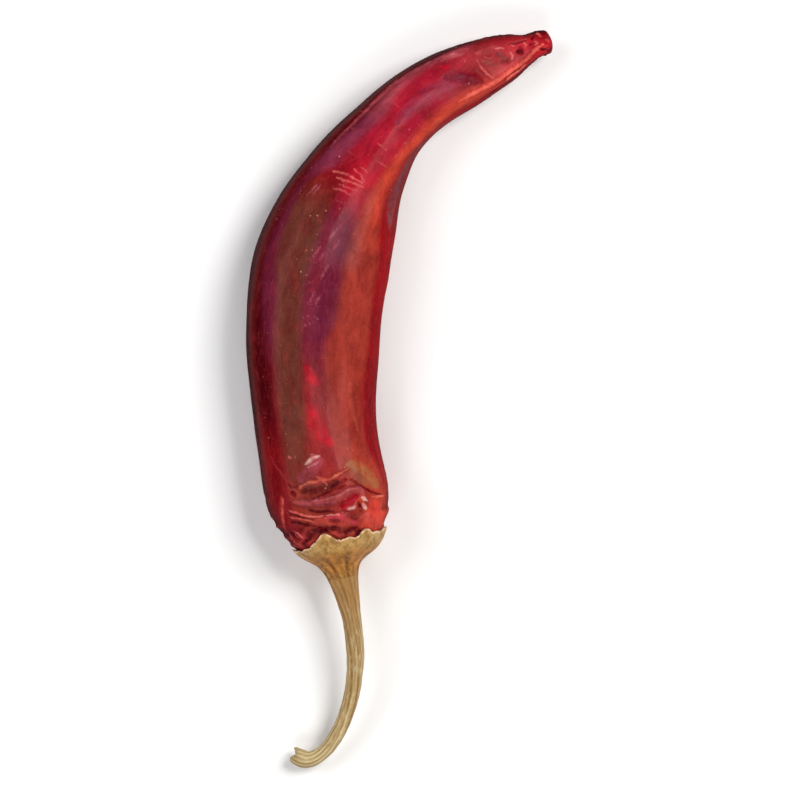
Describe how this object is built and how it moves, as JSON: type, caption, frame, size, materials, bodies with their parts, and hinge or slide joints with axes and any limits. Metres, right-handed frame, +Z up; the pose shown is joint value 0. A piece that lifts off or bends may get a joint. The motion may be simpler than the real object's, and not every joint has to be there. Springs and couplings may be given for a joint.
{
  "type": "dried red chilli",
  "caption": "Whole dried red chilli lying on its side: a long bent pod with creased shoulders, a cup-shaped calyx and a slender hooked stem.",
  "frame": {"origin": "the middle of the underside of the bounding box, which is the plane that the pod's flat spot rests on", "axes": "+Z up out of the shown side, +Y from the stem towards the pod's far end, +X towards the side that the pod's tip bends to"},
  "size_m": [0.0678, 0.1629, 0.0219],
  "materials": {
    "skin": "glossy dried skin, dark red with purple and bronze bands",
    "calyx": "matt, papery and khaki-tan, with a pale rim",
    "stem": "dull straw, ribbed lengthwise with brown grooves"
  },
  "bodies": {
    "root": {"pod": "skin", "calyx": "calyx", "stem": "stem"}
  },
  "joints": []
}
